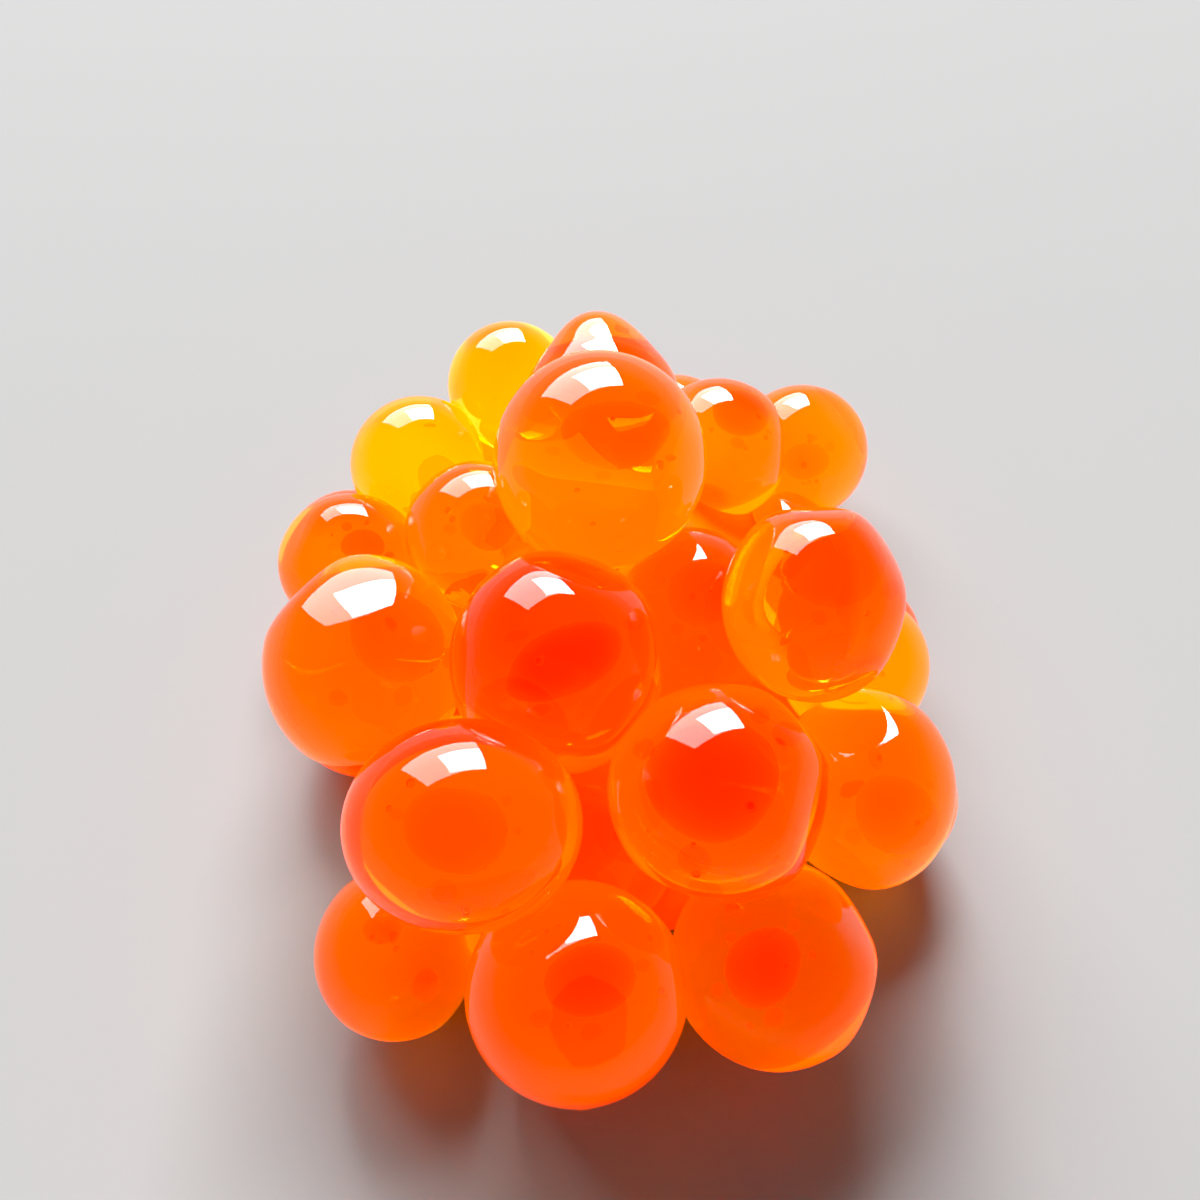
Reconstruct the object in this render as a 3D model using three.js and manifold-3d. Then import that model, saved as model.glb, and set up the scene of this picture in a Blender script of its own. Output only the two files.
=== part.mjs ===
// A small heap of salmon roe: soft, slightly sticky eggs of about 7.7 mm, piled
// three layers deep. The eggs press on each other and are glued together by a film
// of brine, so the heap is one solid out to its uneven outline.
// Millimetres, +Z up, +Y towards the back of the heap. The origin is on the surface
// that the heap lies on, under the middle of its box.
import * as THREE from 'three';
import { ConvexGeometry } from 'three/addons/geometries/ConvexGeometry.js';
import { mergeVertices } from 'three/addons/utils/BufferGeometryUtils.js';
import Module from 'manifold-3d';

const wasm = await Module();
wasm.setup();

// ---------------------------------------------------------------- sizes (mm)
const EGG_DETAIL = 3;        // subdivision of the skin of an egg on top
const UNDER_DETAIL = 2;      // and of an egg that carries others
const SLOPE_DEG = 54;        // the lean of the heap's front, along which its eggs are stretched
const UNDER_STRETCH = 0.035; // how far an egg under the others is from round
const REST_CUT = 0;          // height of the small flat spots the lowest eggs rest on
const FLOOR_LAYER = 5;       // eggs with their middle under this height rest on the floor
const SADDLE_Y = 2.3;        // where the front half of the heap meets the lower back half
const SADDLE_OVERLAP = 0.7;  // both halves share the eggs this close to that line
const CORE_DEPTH = 0.4;      // how far the brine core's corners lie inside the eggs' middles
const CORE_FOOT = 0.8;       // size of the core's foot against the ring of lowest eggs
const FOOT_DEPTH = 0.5;      // how far the foot starts under the floor, before it is cut flat

// ---------------------------------------------------------------- the eggs
// Each row is one egg: x, y, z of its centre, its radius, then its stretch across
// the heap and its stretch up the front slope (1 is round).
const TOP_AND_FRONT = [
  [0.21, 2.32, 15.88, 4.54, 0.99, 1.01],
  [-1.43, -6.60, 14.30, 4.19, 0.98, 1.03],
  [-9.48, -4.81, 11.35, 4.32, 0.95, 1.05],
  [8.00, -4.13, 14.83, 3.87, 0.99, 1.01],
  [4.11, -1.05, 9.42, 3.88, 0.96, 1.04],
  [4.63, -11.38, 12.97, 4.11, 1.02, 0.98],
  [-4.47, -13.52, 14.78, 3.86, 1.07, 0.93],
  [10.88, -9.44, 9.39, 3.78, 0.93, 1.07],
  [-0.60, -17.82, 10.32, 3.86, 1.02, 0.98],
  [7.10, -15.32, 5.73, 4.10, 1.00, 1.00],
  [-8.17, -14.23, 3.91, 3.53, 0.98, 1.02],
  [-0.58, -11.02, 7.46, 3.91, 1.00, 1.00],
  [11.54, -2.86, 8.12, 3.33, 0.99, 1.01],
];
const BACK = [
  [0.29, 9.78, 12.15, 3.88, 0.98, 1.02],
  [-4.49, 14.05, 9.12, 3.38, 1.00, 1.00],
  [-8.75, 8.30, 9.17, 3.46, 1.00, 1.00],
  [-11.46, 2.37, 8.81, 3.33, 1.01, 0.99],
  [-5.36, 2.66, 10.60, 3.39, 1.00, 1.00],
  [6.31, 10.41, 8.15, 3.65, 1.00, 1.00],
  [11.45, 13.79, 4.37, 3.79, 1.00, 1.00],
];
const UNDERNEATH = [
  [-0.35, -16.77, 3.42, 3.52],
  [6.04, -8.18, 3.80, 3.78],
  [-0.72, 10.37, 4.41, 3.98],
  [-2.34, 17.72, 3.75, 3.84],
  [-6.37, 3.72, 3.93, 3.80],
  [-12.91, 6.54, 3.63, 3.72],
  [3.09, 3.99, 3.93, 3.86],
  [9.75, 7.26, 3.32, 3.41],
  [4.50, 15.46, 3.64, 3.73],
  [12.99, -6.96, 3.36, 3.45],
  [-6.23, -7.51, 4.31, 3.85],
  [7.16, -1.51, 3.28, 3.37],
  [-1.53, -1.80, 4.44, 3.95],
  [-8.85, 12.69, 3.77, 3.87],
  [-10.95, -2.06, 3.75, 3.78],
  [12.88, 1.53, 3.38, 3.47],
];

// Eggs under the others get a small uneven stretch of their own.
const wobble = (i, k) => Math.sin(12.9898 * (i + 1) + 78.233 * k) * UNDER_STRETCH;
const EGGS = [
  ...[...TOP_AND_FRONT, ...BACK].map((e) => [...e, EGG_DETAIL]),
  ...UNDERNEATH.map((e, i) => [...e, 1 + wobble(i, 1), 1 + wobble(i, 2), UNDER_DETAIL]),
];

// ---------------------------------------------------------------- helpers
const lean = THREE.MathUtils.degToRad(SLOPE_DEG);
const UP_SLOPE = new THREE.Vector3(0, Math.sin(lean), Math.cos(lean));

// A closed three.js geometry as a solid that can be joined and cut.
function toSolid(geometry) {
  const g = geometry.clone();
  g.deleteAttribute('normal');
  g.deleteAttribute('uv');
  const merged = mergeVertices(g, 1e-5);
  return new wasm.Manifold(new wasm.Mesh({
    numProp: 3,
    vertProperties: Float32Array.from(merged.attributes.position.array),
    triVerts: Uint32Array.from(merged.index.array),
  }));
}

// A solid back to a three.js geometry.
function toGeometry(solid) {
  const mesh = solid.getMesh();
  const points = new Float32Array((mesh.vertProperties.length / mesh.numProp) * 3);
  for (let i = 0; i < points.length / 3; i++) {
    for (let k = 0; k < 3; k++) points[3 * i + k] = mesh.vertProperties[i * mesh.numProp + k];
  }
  const g = new THREE.BufferGeometry();
  g.setAttribute('position', new THREE.BufferAttribute(points, 3));
  g.setIndex(new THREE.BufferAttribute(Uint32Array.from(mesh.triVerts), 1));
  g.computeVertexNormals();
  return g;
}

// One egg: a fine ball stretched across the heap and up its slope, turned a little
// so that no two skins share their facets.
function eggGeometry([x, y, z, r, across, along, detail], index) {
  const g = new THREE.IcosahedronGeometry(r, detail);
  g.rotateZ(1.7 * index);
  g.rotateX(0.9 * index);
  const p = g.attributes.position;
  const v = new THREE.Vector3();
  for (let i = 0; i < p.count; i++) {
    v.fromBufferAttribute(p, i);
    const up = v.dot(UP_SLOPE);
    v.x *= across;
    v.addScaledVector(UP_SLOPE, up * (along - 1));
    p.setXYZ(i, v.x + x, v.y + y, v.z + z);
  }
  return g;
}

// The brine core between some of the eggs: a convex body through their middles, and
// for the lowest eggs a foot that reaches down to the floor between them.
function coreGeometry(eggs, foot) {
  const points = [];
  for (const [x, y, z] of eggs) {
    const pull = Math.max(1 - CORE_DEPTH / Math.hypot(x, y, z), 0);
    points.push(new THREE.Vector3(x * pull, y * pull, z * pull));
    if (foot) points.push(new THREE.Vector3(x * CORE_FOOT, y * CORE_FOOT, REST_CUT - FOOT_DEPTH));
  }
  return new ConvexGeometry(points);
}

// ---------------------------------------------------------------- the heap
const lowest = EGGS.filter(([, , z]) => z < FLOOR_LAYER);
const front = EGGS.filter(([, y]) => y < SADDLE_Y + SADDLE_OVERLAP);
const back = EGGS.filter(([, y]) => y > SADDLE_Y - SADDLE_OVERLAP);
let heap = toSolid(coreGeometry(lowest, true))
  .add(toSolid(coreGeometry(front, false)))
  .add(toSolid(coreGeometry(back, false)));
EGGS.forEach((egg, i) => { heap = heap.add(toSolid(eggGeometry(egg, i))); });

// The lowest eggs and the core are cut flat where they rest.
const under = new THREE.BoxGeometry(80, 80, 20);
under.translate(0, 0, REST_CUT - 10);
heap = heap.subtract(toSolid(under));

// Small pockets left shut inside are filled: only the outer skin is kept.
const pieces = heap.decompose();
let whole = pieces[0];
for (const piece of pieces) {
  if (piece.volume() > whole.volume()) whole = piece;
}

const material = new THREE.MeshStandardMaterial({
  name: 'roe',
  color: new THREE.Color(0.98, 0.36, 0.05),
  roughness: 0.18,
  metalness: 0,
});

const mesh = new THREE.Mesh(toGeometry(whole), material);
mesh.name = 'roe_heap';

const group = new THREE.Group();
group.add(mesh);
export default group;
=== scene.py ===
# A small heap of salmon roe: soft, wet, see-through orange eggs, built around the packed
# frame. Every egg is a closed body of its own: a little uneven, flattened where it presses
# on its neighbours and on the floor, clear and orange inside.
import math

import bmesh
import bpy
import numpy as np
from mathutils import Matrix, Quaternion, Vector


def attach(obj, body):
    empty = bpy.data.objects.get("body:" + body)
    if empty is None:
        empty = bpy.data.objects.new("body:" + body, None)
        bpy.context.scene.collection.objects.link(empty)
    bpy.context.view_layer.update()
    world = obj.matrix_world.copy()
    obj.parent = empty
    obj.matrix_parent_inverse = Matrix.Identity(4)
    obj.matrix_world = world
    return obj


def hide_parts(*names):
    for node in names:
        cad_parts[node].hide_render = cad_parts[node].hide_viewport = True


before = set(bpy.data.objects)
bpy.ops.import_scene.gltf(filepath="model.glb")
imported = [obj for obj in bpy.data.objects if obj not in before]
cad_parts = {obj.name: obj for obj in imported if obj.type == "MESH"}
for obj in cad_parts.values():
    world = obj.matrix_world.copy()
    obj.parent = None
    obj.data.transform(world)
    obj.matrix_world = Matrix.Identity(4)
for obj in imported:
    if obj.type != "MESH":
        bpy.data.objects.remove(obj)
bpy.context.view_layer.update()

MM = 0.001
SLOPE = math.radians(54)            # the lean of the heap's front
RIGHT = np.array([1.0, 0.0, 0.0])
UP_SLOPE = np.array([0.0, math.sin(SLOPE), math.cos(SLOPE)])
TOWARDS = np.array([0.0, -math.cos(SLOPE), math.sin(SLOPE)])
FILM = -0.006                       # half the gap where two eggs are stuck together, mm
SOFT = 0.16                         # how softly a contact face turns into the round skin, mm
FLOOR_GAP = 0.03
UNEVEN = 0.011                      # how far a skin wanders from a true egg, share of its radius
FINE, COARSE = 5, 4                 # subdivision of the eggs on top and of those that carry them

# look
ROUGH = 0.0
IOR = 1.37
# painted glow: emission strength on the near and the far wall of each egg, standing in for light scattered about
# inside the heap
PAINTED_GLOW_FRONT, PAINTED_GLOW_BACK = 0.0, 0.6
WINDOW_POWER = 900.0
CURTAIN_POWER = 900.0
WORLD_LOW, WORLD_HIGH = 0.52, 0.28
FLOOR_COLOUR = (0.20, 0.20, 0.20)
BLACK = 0.016
EXPOSURE = 0.2
BOUNCES = 6
GLOSSY_BOUNCES = 3
DIFFUSE_BOUNCES = 2
# painted red glow of the oil
OIL_PAINTED_GLOW = 0.25
FILM_BUMP = 0.35
OIL_DENSITY = 450
CORE_INSET, CORE_GAP = 2.5, 0.05     # the core inside the ring of outer eggs, and off each skin, mm
# painted red glow of the core
CORE_PAINTED_GLOW = 0.35
# what each kind of egg lets through: surface tint, absorption colour and density, and the colour of its painted glow
# (emission on the egg's far wall)
KINDS = {
    "pale": ((1.0, 0.78, 0.14), (1.0, 0.88, 0.05), 120, (1.0, 0.62, 0.0)),
    "amber": ((1.0, 0.72, 0.06), (1.0, 0.76, 0.03), 125, (1.0, 0.57, 0.0)),
    "orange": ((1.0, 0.56, 0.03), (1.0, 0.60, 0.02), 125, (1.0, 0.345, 0.0)),
    "even": ((1.0, 0.34, 0.01), (1.0, 0.42, 0.01), 135, (1.0, 0.32, 0.0)),
    "deep": ((1.0, 0.48, 0.02), (1.0, 0.50, 0.01), 130, (1.0, 0.245, 0.0)),
    "red": ((1.0, 0.42, 0.015), (1.0, 0.40, 0.01), 140, (1.0, 0.20, 0.0)),
}

# ------------------------------------------------------------------ the eggs
# x, y, z of the centre, radius (mm), stretch across and up the slope, kind
TOP_AND_FRONT = {
    "e01": (0.21, 2.32, 15.88, 4.54, 0.99, 1.01, "orange"),
    "e08": (-1.43, -6.60, 14.30, 4.19, 0.98, 1.03, "red"),
    "e06": (-9.48, -4.81, 11.35, 4.32, 0.95, 1.05, "orange"),
    "e11": (8.50, -4.42, 15.12, 3.74, 0.95, 1.03, "even"),
    "e10": (4.15, -1.85, 10.35, 3.86, 0.97, 1.03, "deep"),
    "e13": (4.63, -11.38, 12.97, 4.11, 1.02, 0.98, "red"),
    "e15": (-4.47, -13.52, 14.78, 3.86, 1.07, 0.93, "red"),
    "e14": (10.88, -9.44, 9.39, 3.78, 0.93, 1.07, "orange"),
    "e16": (-0.60, -17.82, 10.32, 3.86, 1.02, 0.98, "deep"),
    "e17": (7.10, -15.32, 5.73, 4.10, 1.00, 1.00, "deep"),
    "e18": (-8.17, -14.23, 3.91, 3.53, 0.98, 1.02, "deep"),
    "e21": (-0.58, -11.02, 7.46, 3.91, 1.00, 1.00, "red"),
    "e12": (11.54, -2.86, 8.12, 3.33, 0.99, 1.01, "amber"),
    "e02": (0.29, 9.78, 12.15, 3.88, 0.98, 1.02, "deep"),
    "e03": (-4.49, 14.05, 9.12, 3.38, 1.00, 1.00, "pale"),
    "e04": (-8.75, 8.30, 9.17, 3.46, 1.00, 1.00, "pale"),
    "e05": (-11.46, 2.37, 8.81, 3.33, 1.01, 0.99, "orange"),
    "e07": (-5.36, 2.66, 10.60, 3.39, 1.00, 1.00, "orange"),
    "e19": (6.31, 10.41, 8.15, 3.65, 1.00, 1.00, "orange"),
    "e20": (11.45, 13.79, 4.37, 3.79, 1.00, 1.00, "deep"),
}
# Where an egg's skin is straighter than round. Each flat faces (right, up, towards), as
# seen along the slope, and lies that share of the radius from the middle.
FLATS = {
    "e11": [((0.96, -0.28, 0.0), 0.88, 0.5)],
    "e17": [((0.92, -0.40, 0.0), 0.88, 0.3), ((0.34, -0.94, 0.0), 0.90, 0.3)],
    "e13": [((0.80, 0.60, 0.0), 0.93, 0.5)],
    "e14": [((0.90, -0.43, 0.0), 0.92, 0.4)],
    "e06": [((-0.70, 0.70, 0.15), 0.93, 0.5)],
}
# Eggs with no old pressure marks.
ROUND = ("e01", "e15", "e16")
# An egg that is firmer than its neighbours: it dents them more than they dent it, in mm.
FIRM = {"e11": 0.3}
# Where an egg is drawn out to a blunt tip: the direction, as above, and by how much.
TIPS = {
    "e02": [((-0.06, 0.97, 0.10), 0.15)],
}
# The red oil in an egg, as seen along the slope: right, up, towards, then half width, height
# and tilt of the cluster, in shares of the egg's radius, and how strong it shows.
OIL = {
    "e01": [(0.12, 0.16, 0.15, 0.42, 0.24, 0, 0.6)],
    "e08": [(0.06, 0.02, 0.25, 0.50, 0.26, 20, 1.0)],
    "e06": [(0.26, 0.22, 0.10, 0.38, 0.36, 0, 0.6), (-0.15, -0.24, 0.30, 0.07, 0.07, 0, 1.0)],
    "e11": [(0.13, 0.28, 0.10, 0.38, 0.34, 0, 0.6)],
    "e10": [(0.10, 0.24, 0.20, 0.34, 0.32, 0, 0.6)],
    "e13": [(-0.05, 0.10, 0.10, 0.48, 0.44, 0, 1.0)],
    "e15": [(-0.02, 0.00, 0.20, 0.38, 0.32, 0, 0.6)],
    "e14": [(0.22, -0.20, 0.10, 0.30, 0.36, 30, 0.6)],
    "e16": [(0.10, 0.16, 0.25, 0.36, 0.28, 15, 1.0)],
    "e17": [(-0.12, 0.06, 0.25, 0.34, 0.30, 40, 1.0)],
    "e18": [(-0.15, 0.24, 0.20, 0.17, 0.15, 0, 1.0), (0.27, -0.27, 0.20, 0.14, 0.14, 0, 1.0)],
    "e19": [(0.22, 0.38, 0.10, 0.34, 0.26, -20, 1.0)],
    "e07": [(0.10, 0.10, 0.10, 0.30, 0.24, 0, 0.6)],
    "e05": [(0.15, 0.20, 0.10, 0.28, 0.22, 0, 0.6)],
    "e20": [(0.05, -0.10, 0.10, 0.26, 0.22, 0, 0.6)],
    "e21": [(0.0, 0.10, 0.20, 0.36, 0.30, 0, 0.6)],
    "e02": [(0.0, 0.20, 0.10, 0.34, 0.26, 0, 0.6)],
    "e12": [(0.10, 0.10, 0.10, 0.20, 0.18, 0, 0.6)],
}
UNDERNEATH = [
    (-0.35, -16.77, 3.42, 3.52),
    (6.04, -8.18, 3.80, 3.78),
    (-0.72, 10.37, 4.41, 3.98),
    (-2.34, 17.72, 3.75, 3.84),
    (-6.37, 3.72, 3.93, 3.80),
    (-12.91, 6.54, 3.63, 3.72),
    (3.09, 3.99, 3.93, 3.86),
    (9.75, 7.26, 3.32, 3.41),
    (4.50, 15.46, 3.64, 3.73),
    (12.99, -6.96, 3.36, 3.45),
    (-6.23, -7.51, 4.31, 3.85),
    (7.16, -1.51, 3.28, 3.37),
    (-1.53, -1.80, 4.44, 3.95),
    (-8.85, 12.69, 3.77, 3.87),
    (-10.95, -2.06, 3.75, 3.78),
    (12.88, 1.53, 3.38, 3.47),
]


def wobble(i, k):
    return math.sin(12.9898 * (i + 1) + 78.233 * k) * 0.035


EGGS = [(name, *row) for name, row in TOP_AND_FRONT.items()]
for n, row in enumerate(UNDERNEATH):
    kind = ("deep", "orange", "red", "orange", "deep", "amber")[(n * 5 + n // 3) % 6]
    EGGS.append((f"u{n + 1:02d}", *row, 1 + wobble(n, 1), 1 + wobble(n, 2), kind))
CENTRES = np.array([e[1:4] for e in EGGS])
RADII = np.array([e[4] for e in EGGS])
PRESS = RADII + np.array([FIRM.get(e[0], 0.0) for e in EGGS])
SPACING = np.linalg.norm(CENTRES[:, None] - CENTRES[None], axis=2)
TOUCHING = (SPACING < (RADII[:, None] + RADII[None]) * 1.012) & ~np.eye(len(EGGS), dtype=bool)


def three_sets():
    """Splits the eggs in three sets, so that no two eggs of a set touch."""
    rng = np.random.default_rng(0)
    best = None
    for _ in range(400):
        order = sorted(range(len(EGGS)), key=lambda i: -TOUCHING[i].sum() + rng.normal() * 1.5)
        at = -np.ones(len(EGGS), int)
        for i in order:
            used = {at[j] for j in range(len(EGGS)) if TOUCHING[i, j]}
            at[i] = min(c for c in range(9) if c not in used)
        if best is None or at.max() < best.max():
            best = at
    return best


def ball(subdivisions):
    """Directions and triangles of a fine, even ball."""
    bm = bmesh.new()
    bmesh.ops.create_icosphere(bm, subdivisions=subdivisions, radius=1.0)
    bm.verts.ensure_lookup_table()
    points = np.array([v.co[:] for v in bm.verts])
    faces = np.array([[v.index for v in f.verts] for f in bm.faces])
    bm.free()
    return points / np.linalg.norm(points, axis=1)[:, None], faces


def turned(points, rng):
    """The same points under a random turn."""
    q, _ = np.linalg.qr(rng.normal(size=(3, 3)))
    return points @ (q * np.sign(np.linalg.det(q)))


def soft_min(a, b, k):
    """The smaller of two heights, rounded where they cross."""
    h = np.clip(0.5 + 0.5 * (b - a) / k, 0, 1)
    return b * (1 - h) + a * h - k * h * (1 - h)


def uneven(directions, rng, count=7):
    """A smooth field over the ball, about -1 .. 1."""
    out = np.zeros(len(directions))
    for _ in range(count):
        w = rng.normal(size=3)
        w *= rng.uniform(1.4, 3.6) / np.linalg.norm(w)
        out += np.cos(directions @ w + rng.uniform(0, 2 * math.pi)) / count
    return out * 1.8


def egg_points(index, directions, rng):
    """Skin of one egg in mm, in the frame."""
    name, x, y, z, r, across, along, _ = EGGS[index]
    c = np.array([x, y, z])
    p = directions * r * (1 + UNEVEN * uneven(directions, rng))[:, None]
    up = p @ UP_SLOPE
    p[:, 0] *= across
    p += np.outer(up * (along - 1), UP_SLOPE)
    # old pressure marks: faint flats all round, and the ones that show in its outline
    flats = [(RIGHT * f[0] + UP_SLOPE * f[1] + TOWARDS * f[2], share, soft) for f, share, soft in FLATS.get(name, [])]
    for _ in range(0 if name in ROUND else 4):
        n = rng.normal(size=3)
        flats.append((n / np.linalg.norm(n), rng.uniform(0.935, 0.975), rng.uniform(0.35, 0.7)))
    for n, share, soft in flats:
        n = n / np.linalg.norm(n)
        s = p @ n
        p -= np.outer(s - soft_min(s, np.full_like(s, share * r), soft), n)
    for d, rise in TIPS.get(name, []):
        n = RIGHT * d[0] + UP_SLOPE * d[1] + TOWARDS * d[2]
        at = np.clip(directions @ (n / np.linalg.norm(n)), 0, 1)
        p *= (1 + rise * at ** 9 - 0.5 * rise * at ** 2 * (1 - at ** 2) * 4)[:, None]
    # it is pressed flat on its neighbours
    for j in range(len(EGGS)):
        dist = SPACING[index, j]
        if j == index or dist > (r + RADII[j]) * 1.06:
            continue
        n = (CENTRES[j] - c) / dist
        face = (dist * dist + PRESS[index] ** 2 - PRESS[j] ** 2) / (2 * dist) - FILM
        s = p @ n
        p -= np.outer(s - soft_min(s, np.full_like(s, face), SOFT), n)
    # and on the floor
    s = -p[:, 2]
    p[:, 2] = -soft_min(s, np.full_like(s, z - FLOOR_GAP), SOFT)
    return p + c


def mesh_object(name, points, faces, materials, slots=None):
    """A smooth mesh piece from points in mm."""
    me = bpy.data.meshes.new(name)
    me.from_pydata((points * MM).tolist(), [], faces.tolist())
    me.shade_smooth()
    for m in materials:
        me.materials.append(m)
    if slots is not None:
        me.polygons.foreach_set("material_index", slots)
    ob = bpy.data.objects.new(name, me)
    bpy.context.scene.collection.objects.link(ob)
    return ob


# ------------------------------------------------------------------ materials
def new_material(name):
    m = bpy.data.materials.new(name)
    m.use_nodes = True
    m.node_tree.nodes.clear()
    return m, m.node_tree.nodes, m.node_tree.links


def roe_material(name, tint, absorb, density, painted_glow):
    """The skin and clear inside of one kind of egg: a wet surface over an orange body, with faint clouds in its tint,
    a film of brine that is not quite even, and a painted glow on its far wall."""
    m, nodes, links = new_material(name)
    out = nodes.new("ShaderNodeOutputMaterial")
    b = nodes.new("ShaderNodeBsdfPrincipled")
    b.inputs["Roughness"].default_value = ROUGH
    b.inputs["IOR"].default_value = IOR
    b.inputs["Transmission Weight"].default_value = 1.0
    b.inputs["Emission Color"].default_value = (*painted_glow, 1)
    # painted glow: the far (inner) wall of each egg emits light, standing in for the light that wanders about inside
    # the heap
    geo = nodes.new("ShaderNodeNewGeometry")
    painted_glow_wall = nodes.new("ShaderNodeMapRange")
    painted_glow_wall.inputs["To Min"].default_value = PAINTED_GLOW_FRONT
    painted_glow_wall.inputs["To Max"].default_value = PAINTED_GLOW_BACK
    links.new(geo.outputs["Backfacing"], painted_glow_wall.inputs["Value"])
    links.new(painted_glow_wall.outputs[0], b.inputs["Emission Strength"])
    m.cycles.emission_sampling = "NONE"
    tc = nodes.new("ShaderNodeTexCoord")
    clouds = nodes.new("ShaderNodeTexNoise")
    clouds.inputs["Scale"].default_value = 260
    clouds.inputs["Detail"].default_value = 0
    links.new(tc.outputs["Object"], clouds.inputs["Vector"])
    ramp = nodes.new("ShaderNodeValToRGB")
    ramp.color_ramp.elements[0].position = 0.30
    ramp.color_ramp.elements[0].color = (tint[0], tint[1] * 0.80, tint[2] * 0.6, 1)
    ramp.color_ramp.elements[1].position = 0.70
    ramp.color_ramp.elements[1].color = (tint[0], min(tint[1] * 1.12, 1), tint[2] * 1.3, 1)
    links.new(clouds.outputs["Fac"], ramp.inputs["Fac"])
    links.new(ramp.outputs["Color"], b.inputs["Base Color"])
    film = nodes.new("ShaderNodeTexNoise")
    film.inputs["Scale"].default_value = 420
    film.inputs["Detail"].default_value = 0
    links.new(tc.outputs["Object"], film.inputs["Vector"])
    bump = nodes.new("ShaderNodeBump")
    bump.inputs["Strength"].default_value = FILM_BUMP
    bump.inputs["Distance"].default_value = 0.00008
    links.new(film.outputs["Fac"], bump.inputs["Height"])
    links.new(bump.outputs["Normal"], b.inputs["Normal"])
    v = nodes.new("ShaderNodeVolumeAbsorption")
    v.inputs["Color"].default_value = (*absorb, 1)
    v.inputs["Density"].default_value = density
    links.new(b.outputs[0], out.inputs["Surface"])
    links.new(v.outputs[0], out.inputs["Volume"])
    return m


def oil_material(name, ior, absorb, density, tint):
    """Red oil inside an egg, with a faint painted red glow."""
    m, nodes, links = new_material(name)
    out = nodes.new("ShaderNodeOutputMaterial")
    b = nodes.new("ShaderNodeBsdfPrincipled")
    b.inputs["Roughness"].default_value = 0.0
    b.inputs["IOR"].default_value = ior
    b.inputs["Transmission Weight"].default_value = 1.0
    # painted glow: the oil emits a faint red light that stands in for light scattered inside the egg
    b.inputs["Emission Color"].default_value = (1.0, 0.02, 0.0, 1)
    b.inputs["Emission Strength"].default_value = OIL_PAINTED_GLOW
    m.cycles.emission_sampling = "NONE"
    tc = nodes.new("ShaderNodeTexCoord")
    clouds = nodes.new("ShaderNodeTexNoise")
    clouds.inputs["Scale"].default_value = 900
    links.new(tc.outputs["Object"], clouds.inputs["Vector"])
    ramp = nodes.new("ShaderNodeValToRGB")
    ramp.color_ramp.elements[0].color = (tint[0], tint[1] * 0.85, tint[2] * 0.7, 1)
    ramp.color_ramp.elements[1].color = (*tint, 1)
    links.new(clouds.outputs["Fac"], ramp.inputs["Fac"])
    links.new(ramp.outputs["Color"], b.inputs["Base Color"])
    v = nodes.new("ShaderNodeVolumeAbsorption")
    v.inputs["Color"].default_value = (*absorb, 1)
    v.inputs["Density"].default_value = density
    links.new(b.outputs[0], out.inputs["Surface"])
    links.new(v.outputs[0], out.inputs["Volume"])
    return m


# ------------------------------------------------------------------ building
def add_piece(name, parts, materials):
    """Joins (points, faces, material number) into one piece of the heap."""
    points, faces, slots, start = [], [], [], 0
    for p, f, k in parts:
        points.append(p)
        faces.append(f + start)
        slots += [k] * len(f)
        start += len(p)
    ob = mesh_object(name, np.vstack(points), np.vstack(faces), materials, slots)
    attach(ob, "root")
    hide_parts("roe_heap")
    return ob


NAMES = list(KINDS)
MATS = [roe_material("roe_" + k, *KINDS[k]) for k in NAMES]
fine, coarse = ball(FINE), ball(COARSE)
sets = three_sets()
for s in range(sets.max() + 1):
    parts = []
    for i in np.flatnonzero(sets == s):
        rng = np.random.default_rng(100 + i)
        directions, tris = fine if EGGS[i][0][0] == "e" else coarse
        parts.append((egg_points(i, turned(directions, rng), rng), tris, NAMES.index(EGGS[i][7])))
    add_piece("eggs_" + "abcdefgh"[s], parts, MATS)


def hull_of(points):
    """Convex body round some points, as an object in mm."""
    bm = bmesh.new()
    for p in points:
        bm.verts.new(p)
    done = bmesh.ops.convex_hull(bm, input=bm.verts)
    bmesh.ops.delete(bm, geom=[v for v in done["geom_interior"] if isinstance(v, bmesh.types.BMVert)], context="VERTS")
    bmesh.ops.triangulate(bm, faces=bm.faces)
    bmesh.ops.recalc_face_normals(bm, faces=bm.faces)
    me = bpy.data.meshes.new("hull")
    bm.to_mesh(me)
    bm.free()
    return bpy.data.objects.new("hull", me)


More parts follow.
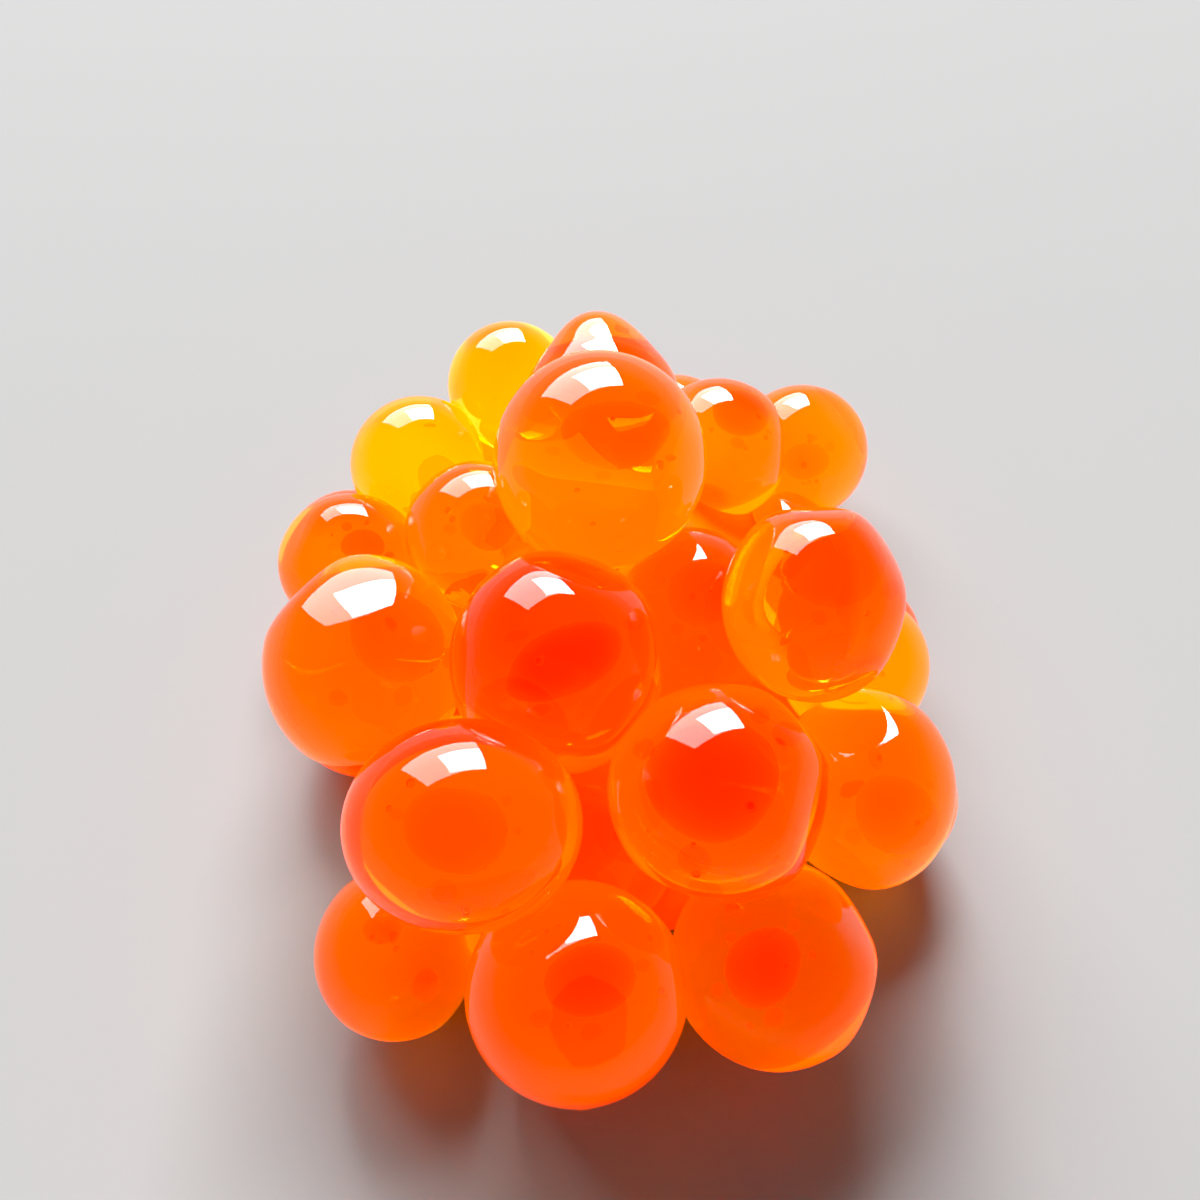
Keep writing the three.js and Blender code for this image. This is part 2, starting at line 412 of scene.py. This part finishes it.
def brine_core():
    """The jelly between the eggs: the inside of the heap less every egg. Points and faces."""
    bodies = []
    low = CENTRES[:, 2] < 5
    second = np.array([e[0] in ("e10", "e21", "e07", "e02", "e19", "e12") for e in EGGS])
    foot = np.array([e[0] == "e17" for e in EGGS])
    for keep in (low | foot, low | second):
        c = CENTRES[keep]
        mid = c.mean(axis=0)
        d = c - mid
        far = np.linalg.norm(d, axis=1)[:, None]
        bodies.append(hull_of(mid + d * np.maximum(1 - CORE_INSET / far, 0.2)))
    body = bodies[0]
    for ob in bodies:
        bpy.context.scene.collection.objects.link(ob)
    for other in bodies[1:]:
        mod = body.modifiers.new("join", "BOOLEAN")
        mod.operation, mod.solver, mod.object = "UNION", "MANIFOLD", other
    cutters = []
    around = ball(4)
    for i, (c, r) in enumerate(zip(CENTRES, RADII)):
        me = bpy.data.meshes.new("cut")
        me.from_pydata((turned(around[0], np.random.default_rng(50 + i)) * (r + CORE_GAP) + c).tolist(), [], around[1].tolist())
        cut = bpy.data.objects.new("cut", me)
        bpy.context.scene.collection.objects.link(cut)
        cutters.append(cut)
        mod = body.modifiers.new("cut", "BOOLEAN")
        mod.operation, mod.solver, mod.object = "DIFFERENCE", "MANIFOLD", cut
    bpy.context.view_layer.update()
    me = bpy.data.meshes.new_from_object(body.evaluated_get(bpy.context.evaluated_depsgraph_get()))
    bm = bmesh.new()
    bm.from_mesh(me)
    bmesh.ops.triangulate(bm, faces=bm.faces)
    bm.verts.index_update()
    # islands: only the ones worth having stay
    left, keep = set(bm.verts), []
    while left:
        todo, group = [left.pop()], []
        while todo:
            v = todo.pop()
            group.append(v)
            for e in v.link_edges:
                w = e.other_vert(v)
                if w in left:
                    left.remove(w)
                    todo.append(w)
        faces = {f for v in group for f in v.link_faces}
        volume = sum(f.verts[0].co.dot(f.verts[1].co.cross(f.verts[2].co)) / 6 for f in faces)
        if volume > 2.0:
            keep += group
    gone = set(bm.verts) - set(keep)
    bmesh.ops.delete(bm, geom=list(gone), context="VERTS")
    bm.verts.index_update()
    points = np.array([v.co[:] for v in bm.verts])
    faces = np.array([[v.index for v in f.verts] for f in bm.faces])
    bm.free()
    for ob in bodies + cutters:
        bpy.data.objects.remove(ob)
    return points, faces


def brine_and_painted_glow_material():
    """Orange-red brine jelly, wet, with a few lighter streaks and a painted red glow."""
    m, nodes, links = new_material("brine")
    out = nodes.new("ShaderNodeOutputMaterial")
    b = nodes.new("ShaderNodeBsdfPrincipled")
    b.inputs["Roughness"].default_value = 0.5
    b.inputs["IOR"].default_value = 1.2
    # painted glow: the core emits red light, standing in for light scattered about inside the heap
    b.inputs["Emission Color"].default_value = (1.0, 0.10, 0.0, 1)
    b.inputs["Emission Strength"].default_value = CORE_PAINTED_GLOW
    tc = nodes.new("ShaderNodeTexCoord")
    streaks = nodes.new("ShaderNodeTexNoise")
    streaks.inputs["Scale"].default_value = 330
    streaks.inputs["Detail"].default_value = 2
    links.new(tc.outputs["Object"], streaks.inputs["Vector"])
    ramp = nodes.new("ShaderNodeValToRGB")
    ramp.color_ramp.elements[0].color = (1.0, 0.055, 0.002, 1)
    ramp.color_ramp.elements[1].color = (1.0, 0.15, 0.008, 1)
    links.new(streaks.outputs["Fac"], ramp.inputs["Fac"])
    links.new(ramp.outputs["Color"], b.inputs["Base Color"])
    links.new(b.outputs[0], out.inputs["Surface"])
    m.cycles.emission_sampling = "NONE"
    return m


add_piece("brine_core", [(*brine_core(), 0)], [brine_and_painted_glow_material()])

# The oil: in each egg a big uneven red drop, a few small red ones close to it, and tiny
# clear beads.
drop_ball, bead_ball = ball(3), ball(2)
drops, beads = [], []
for i, e in enumerate(EGGS):
    name, c, r = e[0], CENTRES[i], RADII[i]
    rng = np.random.default_rng(900 + i)
    spots = OIL.get(name)
    if spots is None and name[0] == "u":
        spots = [(rng.uniform(-0.2, 0.2), rng.uniform(0.05, 0.35), rng.uniform(-0.1, 0.3), rng.uniform(0.24, 0.36), rng.uniform(0.2, 0.3), rng.uniform(-30, 30), 0.6)]
    for k, (a, b_, t, w, h, tilt, share) in enumerate(spots or []):
        slot = 0 if share > 0.75 else 1
        ct, st = math.cos(math.radians(tilt)), math.sin(math.radians(tilt))
        ax, ay = RIGHT * ct + UP_SLOPE * st, UP_SLOPE * ct - RIGHT * st
        mid = c + r * (RIGHT * a + UP_SLOPE * b_ + TOWARDS * t)
        cluster = [(0.0, 0.0, 0.0, 0.95)]
        if max(w, h) > 0.2 and name[0] == "e":
            for n in range(4):
                turn = 2 * math.pi * (n + rng.uniform(-0.4, 0.4)) / 4
                size = rng.uniform(0.10, 0.24)
                cluster.append(((1.02 + size) * math.cos(turn), (1.02 + size) * math.sin(turn), rng.uniform(-0.2, 0.2), size))
        for u, v_, f, size in cluster:
            q = turned(drop_ball[0], rng)
            q = q * (1 + 0.12 * uneven(q, rng))[:, None] * size + np.array([u, v_, f])
            p = np.outer(q[:, 0] * w, ax) + np.outer(q[:, 1] * h, ay) + np.outer(q[:, 2] * 0.7 * (w + h) / 2, TOWARDS)
            drops.append((mid + r * p, drop_ball[1], slot))
        if k == 0:
            for _ in range(int(rng.integers(3, 8))):
                d = rng.normal(size=3)
                d /= np.linalg.norm(d)
                at = mid + d * r * rng.uniform(1.1, 1.6) * max(w, h)
                size = rng.uniform(0.015, 0.04) * r
                if np.linalg.norm(at - c) + size < 0.86 * r:
                    beads.append((at + bead_ball[0] * size, bead_ball[1], 0))
add_piece("oil_drops", drops, [
    oil_material("oil_dense", 1.004, (1.0, 0.20, 0.05), OIL_DENSITY, (1.0, 0.97, 0.9)),
    oil_material("oil_faint", 1.004, (1.0, 0.30, 0.05), OIL_DENSITY * 0.45, (1.0, 0.98, 0.9)),
])
add_piece("oil_beads", beads, [oil_material("oil_bead", 1.09, (1.0, 0.45, 0.05), 300, (1.0, 0.9, 0.7))])

# ------------------------------------------------------------------ floor, light, camera
m, nodes, links = new_material("floor_pale")
out = nodes.new("ShaderNodeOutputMaterial")
b = nodes.new("ShaderNodeBsdfPrincipled")
b.inputs["Base Color"].default_value = (*FLOOR_COLOUR, 1)
b.inputs["Roughness"].default_value = 0.9
b.inputs["Specular IOR Level"].default_value = 0.1
links.new(b.outputs[0], out.inputs["Surface"])
S = 40000.0
floor = mesh_object("floor", np.array([[-S, -S, 0], [S, -S, 0], [S, S, 0], [-S, S, 0]], float), np.array([[0, 1, 2, 3]]), [m])

world = bpy.data.worlds.new("studio")
bpy.context.scene.world = world
world.use_nodes = True
wn, wl = world.node_tree.nodes, world.node_tree.links
wn.clear()
wo = wn.new("ShaderNodeOutputWorld")
bg = wn.new("ShaderNodeBackground")
tc = wn.new("ShaderNodeTexCoord")
sep = wn.new("ShaderNodeSeparateXYZ")
wl.new(tc.outputs["Generated"], sep.inputs[0])
ramp = wn.new("ShaderNodeMapRange")
ramp.interpolation_type = "SMOOTHSTEP"
ramp.inputs["From Min"].default_value = 0.05
ramp.inputs["From Max"].default_value = 0.75
ramp.inputs["To Min"].default_value = WORLD_LOW
ramp.inputs["To Max"].default_value = WORLD_HIGH
wl.new(sep.outputs["Z"], ramp.inputs["Value"])
wl.new(ramp.outputs[0], bg.inputs["Strength"])
bg.inputs["Color"].default_value = (1.0, 0.99, 0.97, 1)
wl.new(bg.outputs[0], wo.inputs[0])


def softbox(name, azimuth, elevation, distance, width, height, power, roll=0.0, color=(1, 1, 1)):
    """A rectangular light that looks at the heap; azimuth 0 is behind it (+Y)."""
    light = bpy.data.lights.new(name, "AREA")
    light.shape = "RECTANGLE"
    light.size, light.size_y = width, height
    light.energy = power
    light.color = color
    ob = bpy.data.objects.new(name, light)
    a, e = math.radians(azimuth), math.radians(elevation)
    d = Vector((math.sin(a) * math.cos(e), math.cos(a) * math.cos(e), math.sin(e)))
    ob.location = d * distance + Vector((0, 0, 0.008))
    q = d.to_track_quat("Z", "Y")
    ob.rotation_mode = "QUATERNION"
    ob.rotation_quaternion = Quaternion(d, math.radians(roll)) @ q
    bpy.context.scene.collection.objects.link(ob)
    return ob


window = softbox("window", 0, 38, 6.0, 3.0, 2.8, WINDOW_POWER, roll=22)
curtain = softbox("curtain", -16, 37, 6.2, 6.0, 4.4, CURTAIN_POWER, roll=14)
# the lamps show as highlights on the skins, not as white patches seen through the eggs
window.visible_transmission = False
curtain.visible_transmission = False

cam_data = bpy.data.cameras.new("camera")
cam_data.sensor_width = 36
cam_data.lens = 33.0
cam_data.clip_start = 0.001
cam_data.clip_end = 50
cam = bpy.data.objects.new("camera", cam_data)
cam.location = (0.21 * MM, -29.43 * MM, 49.71 * MM)
cam.rotation_euler = (math.radians(90 - 54), 0, 0)
bpy.context.scene.collection.objects.link(cam)
bpy.context.scene.camera = cam

sc = bpy.context.scene
sc.cycles.max_bounces = BOUNCES
sc.cycles.transmission_bounces = BOUNCES
sc.cycles.glossy_bounces = GLOSSY_BOUNCES
sc.cycles.diffuse_bounces = DIFFUSE_BOUNCES
sc.view_settings.view_transform = "Standard"
sc.view_settings.look = "None"
sc.view_settings.exposure = EXPOSURE
sc.view_settings.use_curve_mapping = True
cm = sc.view_settings.curve_mapping
cm.black_level = (BLACK, BLACK, BLACK)
cm.update()
